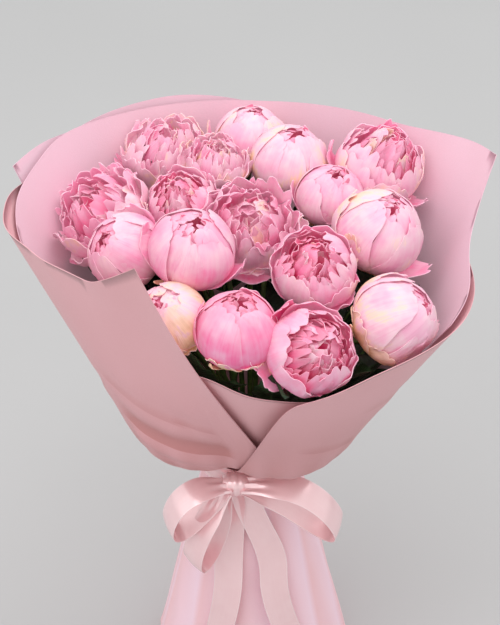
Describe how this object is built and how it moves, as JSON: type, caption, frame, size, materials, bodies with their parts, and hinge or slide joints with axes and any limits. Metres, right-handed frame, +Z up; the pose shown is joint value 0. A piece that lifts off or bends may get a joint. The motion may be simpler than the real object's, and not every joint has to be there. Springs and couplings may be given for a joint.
{
  "type": "bunch of peonies",
  "caption": "Hand-tied bunch of pink double peonies in a flared paper wrap with a satin bow and a paper skirt, standing on its cut stems.",
  "frame": {"origin": "middle of the middle stem's cut end, on the ground", "axes": "+Z up along the bunch from the cut ends to the blooms, -Y to the front where the bow is, +X to the right as seen from the front"},
  "size_m": [0.4233, 0.3506, 0.5747],
  "materials": {
    "petals": "soft, slightly translucent petals, pale at the base and deeper pink inside",
    "stems": "smooth green stem",
    "leaves": "dark green, slightly glossy leaf",
    "wrap_paper": "matte coated wrapping paper, dusty pink",
    "skirt_paper": "matte coated wrapping paper, paler pink",
    "ribbon": "satin ribbon with a soft sheen",
    "twine": "rough jute twine"
  },
  "bodies": {
    "root": {"back_inner_sheet": "wrap_paper", "back_outer_sheet": "wrap_paper", "binding_twine": "twine", "centre_open": "petals", "front_ball": "petals", "front_inner_sheet": "wrap_paper", "front_left_bud": "petals", "front_open": "petals", "inner_back": "petals", "inner_left": "petals", "inner_right": "petals", "leaf_01": "leaves", "leaf_02": "leaves", "leaf_03": "leaves", "leaf_04": "leaves", "leaf_05": "leaves", "leaf_06": "leaves", "leaf_07": "leaves", "leaf_08": "leaves", "leaf_09": "leaves", "leaf_10": "leaves", "left_front_sheet": "wrap_paper", "left_low": "petals", "left_open": "petals", "mid_left_ball": "petals", "mid_right_open": "petals", "ribbon_band": "ribbon", "ribbon_knot": "ribbon", "ribbon_loop_left": "ribbon", "ribbon_loop_left_lower": "ribbon", "ribbon_loop_right": "ribbon", "ribbon_tail_left": "ribbon", "ribbon_tail_right": "ribbon", "right_ball": "petals", "right_front_sheet": "wrap_paper", "right_low": "petals", "skirt_back_sheet": "skirt_paper", "skirt_front_sheet": "skirt_paper", "stem_of_centre_open": "stems", "stem_of_front_ball": "stems", "stem_of_front_left_bud": "stems", "stem_of_front_open": "stems", "stem_of_inner_back": "stems", "stem_of_inner_left": "stems", "stem_of_inner_right": "stems", "stem_of_left_low": "stems", "stem_of_left_open": "stems", "stem_of_mid_left_ball": "stems", "stem_of_mid_right_open": "stems", "stem_of_right_ball": "stems", "stem_of_right_low": "stems", "stem_of_top_left_open": "stems", "stem_of_top_mid": "stems", "stem_of_top_right": "stems", "stem_of_top_right_mid": "stems", "top_left_open": "petals", "top_mid": "petals", "top_right": "petals", "top_right_mid": "petals"}
  },
  "joints": []
}
